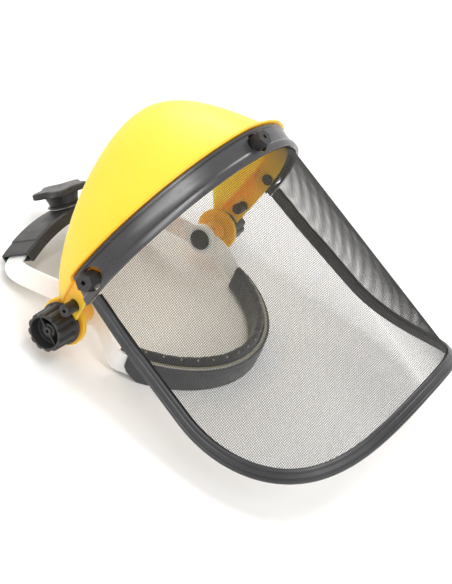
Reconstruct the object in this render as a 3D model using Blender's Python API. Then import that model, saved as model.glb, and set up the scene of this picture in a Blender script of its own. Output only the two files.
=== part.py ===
"""Face shield: a brow guard with a woven wire visor, tilted up on an adjustable headgear.

Units are metres. +Z is up, -Y is the wearer's front and +X the wearer's left. The headgear stands on a table
at z = 0. The guard's shapes are made upright, as worn; an empty on the pivot axis tilts them up, and a second
empty under it sets them a little to one side of that axis.
"""

import math
from collections import namedtuple

import bmesh
import bpy
from mathutils import Matrix, Vector

GAP = 0.0003

# Where the pivot axis lies, and how far the guard is raised from its worn place. The guard's shapes are
# measured from the middle of the visor's plan, a little above and in front of the axis.
PIVOT_Y = 0.0518
PIVOT_HEIGHT = 0.0232
RAISED = math.radians(76.0)
AXIS_YZ = (0.0022, -0.0017)

# The visor's surface is ruled between two plans: one at the band's top and one at the chin.
Plan = namedtuple("Plan", "half_width front_depth rear_depth power centre_y")
TOP_PLAN = Plan(0.1058, 0.0753, 0.1100, 1.786, -0.0488)
CHIN_PLAN = Plan(0.1193, 0.0904, 0.1250, 2.13, -0.0005)
SWEEP = math.radians(94.3)
TOP_Z = 0.0047
SHOULDER_Z = -0.0962
CHIN_Z = -0.1831
CHIN_POWER = 3.914
CHIN_CURVE = 1.97
TAPER = 0.73
SCREEN_THICKNESS = 0.0006
SCREEN_TOP_DROP = 0.0045
VISOR_STEPS = 40

# The band is a channel over the screen's top edge, and the trim one over its other edges.
BAND_HEIGHT = 0.0172
SLOT_HALF = 0.0010
BAND_OUTER = 0.0029
BAND_INNER = -0.0021
TRIM_WIDTH = 0.0086
TRIM_HALF = 0.0022
TRIM_WEB = 0.0022
TRIM_TOP_GAP = 0.0006

# The guard's dome rises from the rim to an arch, which lies in a plane that climbs forward from the pivots.
WALL_OUTER = BAND_INNER - GAP
WALL = 0.0020
WALL_INNER = WALL_OUTER - WALL
FLANGE_Z = TOP_Z + GAP
DOME_BASE_Z = 0.0062
DOME_LEAVE = 0.19
DOME_ARRIVE = 0.25
ARCH_Y = 0.0056
ARCH_RISE = math.radians(35)
ARCH_START = 0.0180
ARCH_REACH = 0.1115
ARCH_HALF_WIDTH = 0.0905
ARCH_POWER = 1.825
LOBE_ANGLE = math.radians(117)
FLANGE_OVERHANG = 0.0012
FLANGE_THICKNESS = 0.0012
FLANGE_LEAST = 0.0008
WALL_LOW_Z = -0.0080

# Distances from the middle plane to the faces that meet along the pivot axis.
BOLT_HEAD = (0.0625, 0.0662)
STRAP_TAB = (0.0665, 0.0683)
BAND_TAB = (0.0686, 0.0706)
SPACER = (0.0709, 0.0879)
LOBE = (0.0882, 0.0914)
WASHER = (0.0917, 0.0927)
SIDE_KNOB = (0.0930, 0.1100)
LOBE_RADIUS = 0.0152
SHANK_RADIUS = 0.0035
BORE_RADIUS = 0.0039
SPACER_RADIUS = 0.0075
WASHER_RADIUS = 0.0100

# Hex pegs that carry the band, and the stop pins in front of the pivots.
PEG_ANGLES = {"peg_right": -0.93, "peg_front": 0.0, "peg_left": 0.93}
PEG_Z = -0.0045
PEG_FLATS = 0.0098
PEG_LENGTH = 0.0075
PEG_HOLE = 0.0066
PEG_NECK = 0.0030
STOP_PIN_YZ = (-0.0213, -0.0034)
STOP_PIN_RADIUS = 0.0037
STOP_PIN_SPAN = (0.0900, 0.1100)

# Headgear ring, seen from above in the pivot's frame.
FOREHEAD_CENTRE_Y = -0.0011
FOREHEAD_DEPTH = 0.0874
FOREHEAD_HALF_WIDTH = 0.0815
BAND_THICKNESS = 0.0018
PAD_THICKNESS = 0.0070
COVER_THICKNESS = 0.0016
FOREHEAD_TOP_Z = -0.0066
FOREHEAD_LOW_Z = -0.0205
FOREHEAD_TURN = math.radians(66)
PAD_TOP_Z = -0.0010
PAD_TURN = math.radians(68.5)
COVER_TOP_Z = -0.0070
COVER_TURN = math.radians(64)
ARM_END_Y = -0.0090
ARM_PULL = 0.0350
TAB_RADIUS = 0.0105
STRAP_HALF_START = 0.0075
STRAP_HALF_END = 0.0066
STRAP_HEIGHT = 0.0010
STRAP_PULL = (0.0750, 0.0450)

# Rear unit: a curved housing whose outward axis leans up.
REAR_CENTRE = (0.0, 0.0700, 0.0010)
REAR_LEAN = math.radians(-40.0)
ARC_RADIUS = 0.1420
HOUSING_HALF_LENGTH = 0.0600
HOUSING_HALF_WIDTH = 0.0120
PINION_PITCH = 0.0050
PINION_TEETH = 8
STAR_TIPS = 5


def clear_scene():
    for obj in list(bpy.data.objects):
        bpy.data.objects.remove(obj, do_unlink=True)


def material(name, colour, roughness, metallic=0.0, transmission=0.0):
    """A Principled material."""
    made = bpy.data.materials.new(name)
    made.use_nodes = True
    shader = made.node_tree.nodes["Principled BSDF"]
    shader.inputs["Base Color"].default_value = (*colour, 1.0)
    shader.inputs["Roughness"].default_value = roughness
    shader.inputs["Metallic"].default_value = metallic
    shader.inputs["Transmission Weight"].default_value = transmission
    made.diffuse_color = (*colour, 1.0)
    return made


def empty(name, location, rotation=(0.0, 0.0, 0.0), parent=None):
    made = bpy.data.objects.new(name, None)
    made.location = location
    made.rotation_euler = rotation
    made.parent = parent
    bpy.context.scene.collection.objects.link(made)
    return made


def add_object(name, mesh, look, parent):
    made = bpy.data.objects.new(name, mesh)
    made.parent = parent
    bpy.context.scene.collection.objects.link(made)
    if look:
        mesh.materials.append(look)
    mesh.shade_smooth()
    mesh.set_sharp_from_angle(angle=math.radians(32))
    return made


def loft(name, rings, look=None, parent=None, wrap=False):
    """A closed body through rings of equally many points: capped at both ends, or joined end to start."""
    shape = bmesh.new()
    loops = [[shape.verts.new(point) for point in ring] for ring in rings]
    count = len(loops[0])
    pairs = list(zip(loops, loops[1:]))
    if wrap:
        pairs.append((loops[-1], loops[0]))
    else:
        shape.faces.new(loops[0])
        shape.faces.new(loops[-1])
    for first, second in pairs:
        for i in range(count):
            j = (i + 1) % count
            shape.faces.new((first[i], first[j], second[j], second[i]))
    bmesh.ops.recalc_face_normals(shape, faces=shape.faces)
    mesh = bpy.data.meshes.new(name)
    shape.to_mesh(mesh)
    shape.free()
    return add_object(name, mesh, look, parent)


def helper(obj):
    """Marks an object as a cutter or an added solid, which isn't a piece by itself."""
    obj.hide_render = True
    obj.display_type = "WIRE"
    return obj


def combine(obj, other, operation):
    """Adds an exact Boolean with a helper object."""
    step = obj.modifiers.new(other.name, "BOOLEAN")
    step.operation = operation
    step.solver = "EXACT"
    step.object = helper(other)


def circle(radius, count, place):
    """A ring of points, with place turning the circle's two coordinates into a point."""
    turns = [2 * math.pi * i / count for i in range(count)]
    return [place(radius * math.cos(a), radius * math.sin(a)) for a in turns]


def along_x(x, y=0.0, z=0.0):
    """A place function for rings across the X axis."""
    return lambda u, v: Vector((x, y + u, z + v))


def level(z):
    """A place function for level rings round the Z axis."""
    return lambda u, v: Vector((u, v, z))


def ease(t):
    """Goes from 0 to 1 with no slope at either end."""
    return t * t * (3 - 2 * t)


def turned_along_x(name, profile, side, look=None, parent=None, count=24, centre=(0.0, 0.0), wrap=False):
    """A turned body on an axis along X, from (distance from the middle, radius) pairs."""
    rings = [circle(radius, count, along_x(side * x, *centre)) for x, radius in profile]
    return loft(name, rings, look, parent, wrap)


def bent(x, y, z):
    """A point of the rear unit with x measured round the housing's arc, at height z over its middle line."""
    angle = x / ARC_RADIUS
    reach = ARC_RADIUS + z
    return Vector((reach * math.sin(angle), y, reach * math.cos(angle) - ARC_RADIUS))


def hermite(start, start_slope, end, end_slope, t):
    """A point on the cubic with the given ends and end slopes."""
    return (
        start * (2 * t**3 - 3 * t**2 + 1)
        + start_slope * (t**3 - 2 * t**2 + t)
        + end * (-2 * t**3 + 3 * t**2)
        + end_slope * (t**3 - t**2)
    )


# The visor's surface.


def plan_point(plan, angle):
    """A point on a superellipse plan. Angle 0 is the front and positive angles go to the wearer's left."""
    s = math.sin(angle)
    c = math.cos(angle)
    depth = plan.front_depth if c > 0 else plan.rear_depth
    x = math.copysign(plan.half_width * abs(s) ** (2 / plan.power), s)
    y = plan.centre_y - math.copysign(depth * abs(c) ** (2 / plan.power), c)
    return Vector((x, y, 0.0))


def surface_point(angle, z):
    blend = (TOP_Z - z) / (TOP_Z - CHIN_Z)
    point = plan_point(TOP_PLAN, angle).lerp(plan_point(CHIN_PLAN, angle), blend)
    point.z = z
    return point


def surface_frame(angle, z):
    """A surface point with its sideways direction and its outward normal."""
    step = 0.01
    sideways = (surface_point(angle + step, z) - surface_point(angle - step, z)).normalized()
    upward = surface_point(angle, z + step) - surface_point(angle, z - step)
    return surface_point(angle, z), sideways, sideways.cross(upward).normalized()


def raised_point(angle, z, offset):
    point, _, normal = surface_frame(angle, z)
    return point + normal * offset


def surface_step(angle, z, direction, distance, parts=4):
    """The angle and height reached by going a short distance over the surface in a direction."""
    step = 0.01
    for _ in range(parts):
        by_angle = (surface_point(angle + step, z) - surface_point(angle - step, z)) / (2 * step)
        by_height = (surface_point(angle, z + step) - surface_point(angle, z - step)) / (2 * step)
        mixed = by_angle.dot(by_height)
        rates = Matrix(((by_angle.dot(by_angle), mixed), (mixed, by_height.dot(by_height))))
        wanted = Vector((direction.dot(by_angle), direction.dot(by_height))) * (distance / parts)
        turn, rise = rates.inverted() @ wanted
        angle += turn
        z += rise
    return angle, z


def arc_table(count=240):
    """Angles over the visor's sweep, with the length of the band's plan up to each."""
    angles = [SWEEP * (2 * i / count - 1) for i in range(count + 1)]
    points = [plan_point(TOP_PLAN, angle) for angle in angles]
    lengths = [0.0]
    for first, second in zip(points, points[1:]):
        lengths.append(lengths[-1] + (second - first).length)
    return angles, lengths


ARC_ANGLES, ARC_LENGTHS = arc_table()
HALF_ARC = ARC_LENGTHS[-1] / 2


def angle_at(share):
    """The plan angle at a share, -1 to 1, of the band's length from its middle."""
    target = (share + 1) * HALF_ARC
    for i in range(1, len(ARC_LENGTHS)):
        if ARC_LENGTHS[i] >= target or i == len(ARC_LENGTHS) - 1:
            part = (target - ARC_LENGTHS[i - 1]) / (ARC_LENGTHS[i] - ARC_LENGTHS[i - 1])
            return ARC_ANGLES[i - 1] + part * (ARC_ANGLES[i] - ARC_ANGLES[i - 1])


def visor_angle(share, z):
    """The plan angle at a share of the visor's width, which narrows from the band to the chin."""
    return angle_at(share * (1 - TAPER * (TOP_Z - z)))


def lower_edge(share, inset=0.0):
    """Height of the visor's rounded lower outline, drawn in by inset."""
    half = HALF_ARC - inset
    reach = min(1.0, abs(share) * HALF_ARC / half)
    drop = SHOULDER_Z - CHIN_Z - inset
    return SHOULDER_Z - drop * (1 - reach**CHIN_POWER) ** (1 / CHIN_CURVE)


def eased(count):
    """Shares from -1 to 1 that crowd together towards both ends."""
    return [math.sin(math.pi * (i / count - 0.5)) for i in range(count + 1)]


def mesh_screen(look, parent):
    """The woven window: one thin curved plate that ends inside the band and the trim."""
    inset = TRIM_WEB + 2 * GAP
    high = TOP_Z - SCREEN_TOP_DROP
    rows = 6
    rings = []
    for share in eased(VISOR_STEPS):
        share *= 1 - inset / HALF_ARC
        low = lower_edge(share, inset)
        places = []
        for j in range(rows + 1):
            z = high + (low - high) * j / rows
            places.append((visor_angle(share, z), z))
        outer = [raised_point(*place, SCREEN_THICKNESS / 2) for place in places]
        inner = [raised_point(*place, -SCREEN_THICKNESS / 2) for place in reversed(places)]
        rings.append(outer + inner)
    screen = loft("mesh_screen", rings, look, parent)
    cut_for_pegs(screen, PEG_HOLE, parent)
    return screen


def cut_for_pegs(obj, radius, parent):
    """Bores a piece where the three pegs pass through it."""
    for name, share in PEG_ANGLES.items():
        hole = peg_solid(f"{obj.name}_{name}_hole", share, radius, 24)
        hole.parent = parent
        combine(obj, hole, "DIFFERENCE")


def visor_band(look, parent):
    """A channel strip open downwards, grooved near its top and ribbed below, and bored for the pegs."""
    low = TOP_Z - BAND_HEIGHT
    section = [
        (BAND_INNER, TOP_Z - 0.0004),
        (BAND_INNER + 0.0004, TOP_Z),
        (BAND_OUTER - 0.0006, TOP_Z),
        (BAND_OUTER, TOP_Z - 0.0006),
        (BAND_OUTER, TOP_Z - 0.0022),
        (BAND_OUTER - 0.0005, TOP_Z - 0.0027),
        (BAND_OUTER - 0.0002, TOP_Z - 0.0034),
        (BAND_OUTER - 0.0002, low + 0.0052),
        (BAND_OUTER + 0.0007, low + 0.0042),
        (BAND_OUTER + 0.0007, low + 0.0008),
        (BAND_OUTER, low),
        (SLOT_HALF, low),
        (SLOT_HALF, TOP_Z - 0.0020),
        (-SLOT_HALF, TOP_Z - 0.0020),
        (-SLOT_HALF, low + 0.0030),
        (BAND_INNER, low + 0.0030),
    ]
    rings = []
    for share in eased(VISOR_STEPS):
        angle = angle_at(share)
        rings.append([raised_point(angle, z, offset) for offset, z in section])
    band = loft("visor_band", rings, look, parent)
    cut_for_pegs(band, PEG_HOLE, parent)
    return band


def trim_route():
    """(angle, height) pairs down the right side of the screen, round the chin and up the left side."""
    start = TOP_Z - BAND_HEIGHT - TRIM_TOP_GAP
    steps = 7
    down = [start + (SHOULDER_Z - start) * i / steps for i in range(steps)]
    right = [(visor_angle(-1, z), z) for z in down]
    under = [(visor_angle(share, lower_edge(share)), lower_edge(share)) for share in eased(VISOR_STEPS)]
    left = [(visor_angle(1, z), z) for z in reversed(down)]
    return right + under + left


def edge_trim(look, parent):
    """A U-shaped edging swept along the screen's free edge, its slot open towards the screen."""
    section = [
        (0.0, -0.0013),
        (0.0, 0.0013),
        (0.0008, TRIM_HALF),
        (TRIM_WIDTH - 0.0008, TRIM_HALF - 0.0002),
        (TRIM_WIDTH, TRIM_HALF - 0.0008),
        (TRIM_WIDTH, SLOT_HALF),
        (TRIM_WEB, SLOT_HALF),
        (TRIM_WEB, -SLOT_HALF),
        (TRIM_WIDTH, -SLOT_HALF),
        (TRIM_WIDTH, -TRIM_HALF + 0.0008),
        (TRIM_WIDTH - 0.0008, -TRIM_HALF + 0.0002),
        (0.0008, -TRIM_HALF),
    ]
    route = trim_route()
    points = [surface_point(*place) for place in route]
    rings = []
    for i, place in enumerate(route):
        _, sideways, normal = surface_frame(*place)
        ahead = points[min(i + 1, len(points) - 1)] - points[max(i - 1, 0)]
        inward = normal.cross(ahead.normalized())
        if i in (0, len(route) - 1):
            inward = sideways if place[0] < 0 else -sideways
        ring = []
        for across, offset in section:
            ring.append(raised_point(*surface_step(*place, inward, across), offset))
        rings.append(ring)
    return loft("edge_trim", rings, look, parent)


# The guard and what is fixed to it.


def rim_extent(angle):
    """1 over the band, falling to 0 behind its ends, where the flange dies away."""
    before = 0.03
    over = 0.16
    past = (abs(angle) - SWEEP + before) / over
    return 1 - ease(min(1.0, max(0.0, past)))


def arch_point(share, inset=0.0):
    """A point of the rear arch, from the right lobe (-1) over the forehead to the left lobe (1)."""
    turn = share * math.pi / 2
    half = ARCH_HALF_WIDTH - inset
    along = ARCH_START + (ARCH_REACH - ARCH_START - inset) * math.cos(turn) ** (2 / ARCH_POWER)
    x = math.copysign(half * abs(math.sin(turn)) ** (2 / ARCH_POWER), turn)
    return Vector((x, ARCH_Y - along * math.cos(ARCH_RISE), along * math.sin(ARCH_RISE)))


def dome_curve(share, offset, count=8):
    """Points up the dome from the rim to the arch: a cubic that leaves the rim upright."""
    angle = share * LOBE_ANGLE
    start = raised_point(angle, DOME_BASE_Z, offset)
    end = arch_point(share, WALL_OUTER - offset)
    reach = (end - start).length
    inward = (Vector((0.0, TOP_PLAN.centre_y, end.z)) - end).normalized()
    leave = Vector((0, 0, reach * DOME_LEAVE))
    arrive = (inward + Vector((0, 0, DOME_ARRIVE))).normalized() * reach
    return [hermite(start, leave, end, arrive, i / count) for i in range(count + 1)]


def guard_shell(look, parent):
    """The dome with its rim wall and flange, as one section carried from lobe to lobe."""
    columns = 40
    rings = []
    for i in range(columns + 1):
        share = 2 * i / columns - 1
        angle = share * LOBE_ANGLE
        reach = BAND_OUTER + FLANGE_OVERHANG - WALL_OUTER
        flange = WALL_OUTER + reach * rim_extent(angle) + FLANGE_LEAST
        rim = [
            (WALL_INNER, WALL_LOW_Z),
            (WALL_OUTER, WALL_LOW_Z),
            (WALL_OUTER, FLANGE_Z),
            (flange, FLANGE_Z),
            (flange, FLANGE_Z + FLANGE_THICKNESS),
        ]
        ring = [raised_point(angle, z, offset) for offset, z in rim]
        ring += dome_curve(share, WALL_OUTER)
        ring += reversed(dome_curve(share, WALL_INNER))
        rings.append(ring)
    return loft("brow_guard", rings, look, parent)


def brow_guard(look, parent):
    """The shell with its pivot lobes and every hole for a fastener."""
    guard = guard_shell(look, parent)
    for side, word in ((-1, "right"), (1, "left")):
        faces = [(x, LOBE_RADIUS) for x in LOBE]
        disc = turned_along_x(f"lobe_{word}", faces, side, count=40, centre=AXIS_YZ, parent=parent)
        combine(guard, disc, "UNION")
    for side, word in ((-1, "right"), (1, "left")):
        stepped = [
            (0.060, 0.0115),
            (LOBE[0], 0.0115),
            (LOBE[0], BORE_RADIUS),
            (LOBE[1], BORE_RADIUS),
            (LOBE[1], 0.0147),
            (0.125, 0.0147),
        ]
        bore = turned_along_x(f"pivot_bore_{word}", stepped, side, centre=AXIS_YZ, parent=parent)
        combine(guard, bore, "DIFFERENCE")
        pin = [(0.085, STOP_PIN_RADIUS + GAP), (0.12, STOP_PIN_RADIUS + GAP)]
        hole = turned_along_x(f"pin_hole_{word}", pin, side, centre=STOP_PIN_YZ, parent=parent)
        combine(guard, hole, "DIFFERENCE")
    cut_for_pegs(guard, PEG_NECK + GAP, parent)
    return guard


def peg_frame(share):
    """Centre and axes of a peg: the outward normal, and the two directions across it."""
    point, sideways, normal = surface_frame(angle_at(share), PEG_Z)
    return point, sideways, normal.cross(sideways), normal


def peg_ring(share, offset, radii):
    point, sideways, upward, normal = peg_frame(share)
    count = len(radii)
    ring = []
    for i, radius in enumerate(radii):
        turn = 2 * math.pi * i / count
        across = sideways * math.cos(turn) + upward * math.sin(turn)
        ring.append(point + across * radius + normal * offset)
    return ring


def peg_solid(name, share, radius, count):
    """A plain round solid on a peg's axis, longer than the walls there."""
    rings = [peg_ring(share, offset, [radius] * count) for offset in (-0.012, 0.012)]
    return loft(name, rings)


def hexagon(flats, count=24):
    """Radii of a hexagon at evenly turned points."""
    radii = []
    for i in range(count):
        turn = (2 * math.pi * i / count) % (math.pi / 3) - math.pi / 6
        radii.append(flats / 2 / math.cos(turn))
    return radii


def square(side, count=24):
    """Radii of a square at evenly turned points."""
    radii = []
    for i in range(count):
        turn = (2 * math.pi * i / count + math.pi / 4) % (math.pi / 2) - math.pi / 4
        radii.append(side / 2 / math.cos(turn))
    return radii


def hex_peg(name, share, look, parent):
    """A hex body with a square socket outside the guard's wall, a neck through it and a round head inside."""
    inside = WALL_INNER - GAP - 0.0004
    outside = WALL_OUTER + GAP
    end = BAND_OUTER + PEG_LENGTH
    body = hexagon(PEG_FLATS)
    slim = hexagon(PEG_FLATS - 0.0010)
    steps = [
        (inside - 0.0016, [0.0034] * 24),
        (inside - 0.0012, [0.0040] * 24),
        (inside, [0.0040] * 24),
        (inside, [PEG_NECK] * 24),
        (outside, [PEG_NECK] * 24),
        (outside, body),
        (end - 0.0005, body),
        (end, slim),
        (end, square(0.0024)),
        (end - 0.0040, square(0.0024)),
    ]
    return loft(name, [peg_ring(share, offset, radii) for offset, radii in steps], look, parent)


def stop_pin(name, side, look, parent):
    """A round pin through the guard's wall, with a square socket in its outer end."""
    near, far = STOP_PIN_SPAN
    y, z = STOP_PIN_YZ
    radius = STOP_PIN_RADIUS
    steps = [
        (near, [radius - 0.0005] * 24),
        (near + 0.0005, [radius] * 24),
        (far - 0.0005, [radius] * 24),
        (far, [radius - 0.0005] * 24),
        (far, square(0.0020)),
        (far - 0.0040, square(0.0020)),
    ]
    rings = []
    for x, radii in steps:
        turns = [(2 * math.pi * i / 24, radius) for i, radius in enumerate(radii)]
        rings.append([Vector((side * x, y + r * math.cos(a), z + r * math.sin(a))) for a, r in turns])
    return loft(name, rings, look, parent)


# The headgear.


def forehead_plan(angle, offset=0.0):
    """The forehead strip's outer face from above, with its outward direction."""
    x = FOREHEAD_HALF_WIDTH * math.sin(angle)
    y = FOREHEAD_CENTRE_Y - FOREHEAD_DEPTH * math.cos(angle)
    normal = Vector((x / FOREHEAD_HALF_WIDTH**2, (y - FOREHEAD_CENTRE_Y) / FOREHEAD_DEPTH**2, 0.0))
    normal.normalize()
    return Vector((x, y, 0.0)) + normal * offset, normal


def forehead_piece(name, last, section, look, parent, count=30):
    """A strip round the forehead, with section listing (offset, height) points."""
    rings = []
    for i in range(count + 1):
        angle = last * (2 * i / count - 1)
        point, normal = forehead_plan(angle)
        rings.append([point + normal * offset + Vector((0, 0, z)) for offset, z in section])
    return loft(name, rings, look, parent)


def arm_steps(side, count=8):
    """Points and outward directions along the headband's arm, from the forehead strip to the pivot tab."""
    start, _ = forehead_plan(side * FOREHEAD_TURN)
    across = side * FOREHEAD_HALF_WIDTH * math.cos(FOREHEAD_TURN)
    heading = Vector((across, FOREHEAD_DEPTH * math.sin(FOREHEAD_TURN), 0)).normalized()
    goal = Vector((side * BAND_TAB[1], ARM_END_Y, 0.0))
    curve = (start, heading * ARM_PULL, goal, Vector((0, ARM_PULL, 0)))
    steps = []
    for i in range(1, count + 1):
        t = i / count
        turn = (hermite(*curve, min(1.0, t + 0.01)) - hermite(*curve, t - 0.01)).normalized()
        steps.append((hermite(*curve, t), Vector((turn.y, -turn.x, 0)) * side, ease(t)))
    return steps


def headband_route(count=36):
    """Points on the headband's outer face with its outward direction, middle height and half height."""
    middle = (FOREHEAD_TOP_Z + FOREHEAD_LOW_Z) / 2
    tall = (FOREHEAD_TOP_Z - FOREHEAD_LOW_Z) / 2
    route = []
    for side in (-1, 1):
        half = []
        for i in range(count // 2 + 1):
            point, normal = forehead_plan(side * FOREHEAD_TURN * i / (count // 2))
            half.append((point, normal, middle, tall))
        for point, normal, share in arm_steps(side):
            half.append((point, normal, middle * (1 - share), tall * (1 - share) + STRAP_HALF_START * share))
        route.append(half)
    return list(reversed(route[0])) + route[1][1:]


def headband(look, parent):
    """The forehead strip with its two arms and the round tabs on the pivot bolts."""
    rings = []
    for point, normal, middle, tall in headband_route():
        inner = point - normal * BAND_THICKNESS
        low = Vector((0, 0, middle - tall))
        high = Vector((0, 0, middle + tall))
        rings.append([inner + low, inner + high, point + high, point + low])
    band = loft("headband", rings, look, parent)
    add_tabs(band, BAND_TAB, parent)
    return band


def sweatband_pad(look, parent):
    """A soft strip inside the forehead strip, with rounded corners, that stands on the table."""
    near = -BAND_THICKNESS - 3 * GAP
    far = near - PAD_THICKNESS
    low = -PIVOT_HEIGHT
    section = [
        (near, low + 0.0012),
        (near, PAD_TOP_Z - 0.0012),
        (near - 0.0015, PAD_TOP_Z),
        (far + 0.0020, PAD_TOP_Z),
        (far, PAD_TOP_Z - 0.0020),
        (far, low + 0.0020),
        (far + 0.0020, low),
        (near - 0.0015, low),
    ]
    return forehead_piece("sweatband_pad", PAD_TURN, section, look, parent)


def sweatband_cover(look, parent):
    """The thin cover on the outside of the forehead strip, which reaches down to the table."""
    low = -PIVOT_HEIGHT
    outer = GAP + COVER_THICKNESS
    section = [(GAP, low), (GAP, COVER_TOP_Z), (outer, COVER_TOP_Z), (outer, low)]
    return forehead_piece("sweatband_cover", COVER_TURN, section, look, parent)


def add_tabs(strip, span, parent, sides=(-1, 1)):
    """Joins a round tab to the strip at each pivot and bores both."""
    for side in sides:
        faces = [(x, TAB_RADIUS) for x in span]
        tab = turned_along_x(f"{strip.name}_tab{side}", faces, side, count=32, parent=parent)
        combine(strip, tab, "UNION")
    for side in sides:
        through = [(0.055, BORE_RADIUS), (0.080, BORE_RADIUS)]
        bore = turned_along_x(f"{strip.name}_bore{side}", through, side, count=24, parent=parent)
        combine(strip, bore, "DIFFERENCE")


def strap_ring(point, across, outward, half):
    """A strap's four corners, with point on its outer face."""
    inner = point - outward * BAND_THICKNESS
    return [point - across * half, point + across * half, inner + across * half, inner - across * half]


def rear_strap(name, side, look, parent):
    """A strap from its tab at the temple back to the housing's mouth, turning to the housing's lean."""
    lean = Matrix.Rotation(REAR_LEAN, 3, "X")
    centre = Vector(REAR_CENTRE)
    mouth = HOUSING_HALF_LENGTH + 0.0020

    def on_arc(x, z):
        return centre + lean @ bent(side * x, 0.0, z)

    start = Vector((side * STRAP_TAB[1], 0.002, 0.0))
    inward = (on_arc(mouth - 0.001, 0.0) - on_arc(mouth, 0.0)).normalized()
    slopes = (Vector((0, STRAP_PULL[0], 0)), inward * STRAP_PULL[1])
    curve = (start, slopes[0], on_arc(mouth, STRAP_HEIGHT), slopes[1])
    across_goal = lean @ Vector((0, -1, 0))
    count = 24
    rings = []
    for i in range(count + 1):
        t = i / count
        ahead = hermite(*curve, min(1.0, t + 0.01)) - hermite(*curve, max(0.0, t - 0.01))
        ahead.normalize()
        across = Vector((0, 0, 1)).lerp(across_goal, ease(t))
        across = (across - ahead * across.dot(ahead)).normalized()
        half = STRAP_HALF_START + (STRAP_HALF_END - STRAP_HALF_START) * ease(t)
        rings.append(strap_ring(hermite(*curve, t), across, ahead.cross(across) * side, half))
    for step in (0.0035, 0.0070, 0.0105):
        x = mouth - step
        outward = (on_arc(x, 0.01) - on_arc(x, 0.0)).normalized()
        rings.append(strap_ring(on_arc(x, STRAP_HEIGHT), across_goal, outward, STRAP_HALF_END))
    strap = loft(name, rings, look, parent)
    add_tabs(strap, STRAP_TAB, parent, (side,))
    return strap


def pivot_bolt(name, side, look, parent):
    """A domed head inside the headband and a shank out into the side knob."""
    low, high = BOLT_HEAD
    profile = [
        (low, 0.0025),
        (low + 0.0008, 0.0050),
        (low + 0.0020, 0.0068),
        (high - 0.0006, 0.0074),
        (high, 0.0074),
        (high, SHANK_RADIUS),
        (SIDE_KNOB[1] - 0.0058, SHANK_RADIUS),
        (SIDE_KNOB[1] - 0.0052, SHANK_RADIUS - 0.0006),
    ]
    return turned_along_x(name, profile, side, look, parent)


def tube_along_x(name, span, radius, side, look, parent):
    """A plain bush or washer on the pivot axis."""
    low, high = span
    profile = [(low, BORE_RADIUS), (low, radius), (high, radius), (high, BORE_RADIUS)]
    return turned_along_x(name, profile, side, look, parent, count=28, wrap=True)


def side_knob(name, side, look, parent):
    """A fluted knob with a base disc, a hollow face, and a hub held by two crossing webs."""
    low, high = SIDE_KNOB
    flutes = 12
    count = 36

    def fluted(x, radius, depth):
        ring = []
        for i in range(count):
            turn = 2 * math.pi * i / count
            r = radius - depth * (0.5 - 0.5 * math.cos(flutes * turn))
            ring.append(Vector((side * x, r * math.cos(turn), r * math.sin(turn))))
        return ring

    rings = [
        fluted(low, BORE_RADIUS, 0.0),
        fluted(low, 0.0135, 0.0),
        fluted(low + 0.0014, 0.0136, 0.0),
        fluted(low + 0.0022, 0.0127, 0.0006),
        fluted(high - 0.0010, 0.0121, 0.0010),
        fluted(high, 0.0113, 0.0006),
        fluted(high, 0.0098, 0.0),
        fluted(high - 0.0070, 0.0094, 0.0),
        fluted(high - 0.0070, 0.0050, 0.0),
        fluted(high - 0.0030, 0.0046, 0.0),
        fluted(high - 0.0030, 0.0012, 0.0),
        fluted(high - 0.0048, 0.0012, 0.0),
        fluted(high - 0.0048, BORE_RADIUS, 0.0),
    ]
    knob = loft(name, rings, look, parent, wrap=True)
    for part, turn in enumerate((math.radians(35), math.radians(125))):
        for end in (-1, 1):
            across = Vector((0, math.cos(turn), math.sin(turn)))
            flat = across.cross(Vector((1, 0, 0))) * 0.0005
            rings = []
            for reach in (0.0043, 0.0097):
                centre = across * end * reach
                near = Vector((side * (high - 0.0074), 0, 0)) + centre
                far = Vector((side * (high - 0.0034), 0, 0)) + centre
                rings.append([near - flat, near + flat, far + flat, far - flat])
            combine(knob, loft(f"{name}_web{part}{end}", rings, parent=parent), "UNION")
    return knob


# The ratchet unit at the back of the head.


def bent_bar(name, half_length, section, look, parent, count=28):
    """A bar along the housing's arc with one (across, height) section."""
    rings = []
    for i in range(count + 1):
        x = half_length * (2 * i / count - 1)
        rings.append([bent(x, y, z) for y, z in section])
    return loft(name, rings, look, parent)


def ratchet_housing(look, parent):
    """The curved outer shell: a channel open towards the head, its top stepped down near both ends."""
    wide = HOUSING_HALF_WIDTH
    inner = wide - 0.0016
    rings = []
    stations = [-1.0, -0.93, -0.80, -0.785] + [-0.7 + 0.1 * i for i in range(15)] + [0.785, 0.80, 0.93, 1.0]
    for share in stations:
        x = HOUSING_HALF_LENGTH * share
        top = 0.0042 if abs(share) < 0.79 else 0.0036
        section = [
            (-wide, -0.0036),
            (-wide + 0.0006, top - 0.0012),
            (-wide + 0.0018, top),
            (wide - 0.0018, top),
            (wide - 0.0006, top - 0.0012),
            (wide, -0.0036),
            (inner, -0.0036),
            (inner, 0.0021),
            (-inner, 0.0021),
            (-inner, -0.0036),
        ]
        rings.append([bent(x, y, z) for y, z in section])
    housing = loft("ratchet_housing", rings, look, parent)
    bore = loft("housing_bore", [circle(0.0048, 24, level(z)) for z in (-0.001, 0.010)], parent=parent)
    combine(housing, bore, "DIFFERENCE")
    return housing


def ratchet_base(look, parent):
    """The inner plate that closes the housing's channel."""
    inner = HOUSING_HALF_WIDTH - 0.0016 - GAP
    section = [(-inner, -0.0034), (-inner, -0.0020), (inner, -0.0020), (inner, -0.0034)]
    plate = bent_bar("ratchet_base", HOUSING_HALF_LENGTH - 0.0004, section, look, parent)
    bore = loft("base_bore", [circle(0.0044, 24, level(z)) for z in (-0.006, 0.001)], parent=parent)
    combine(plate, bore, "DIFFERENCE")
    return plate


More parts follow.
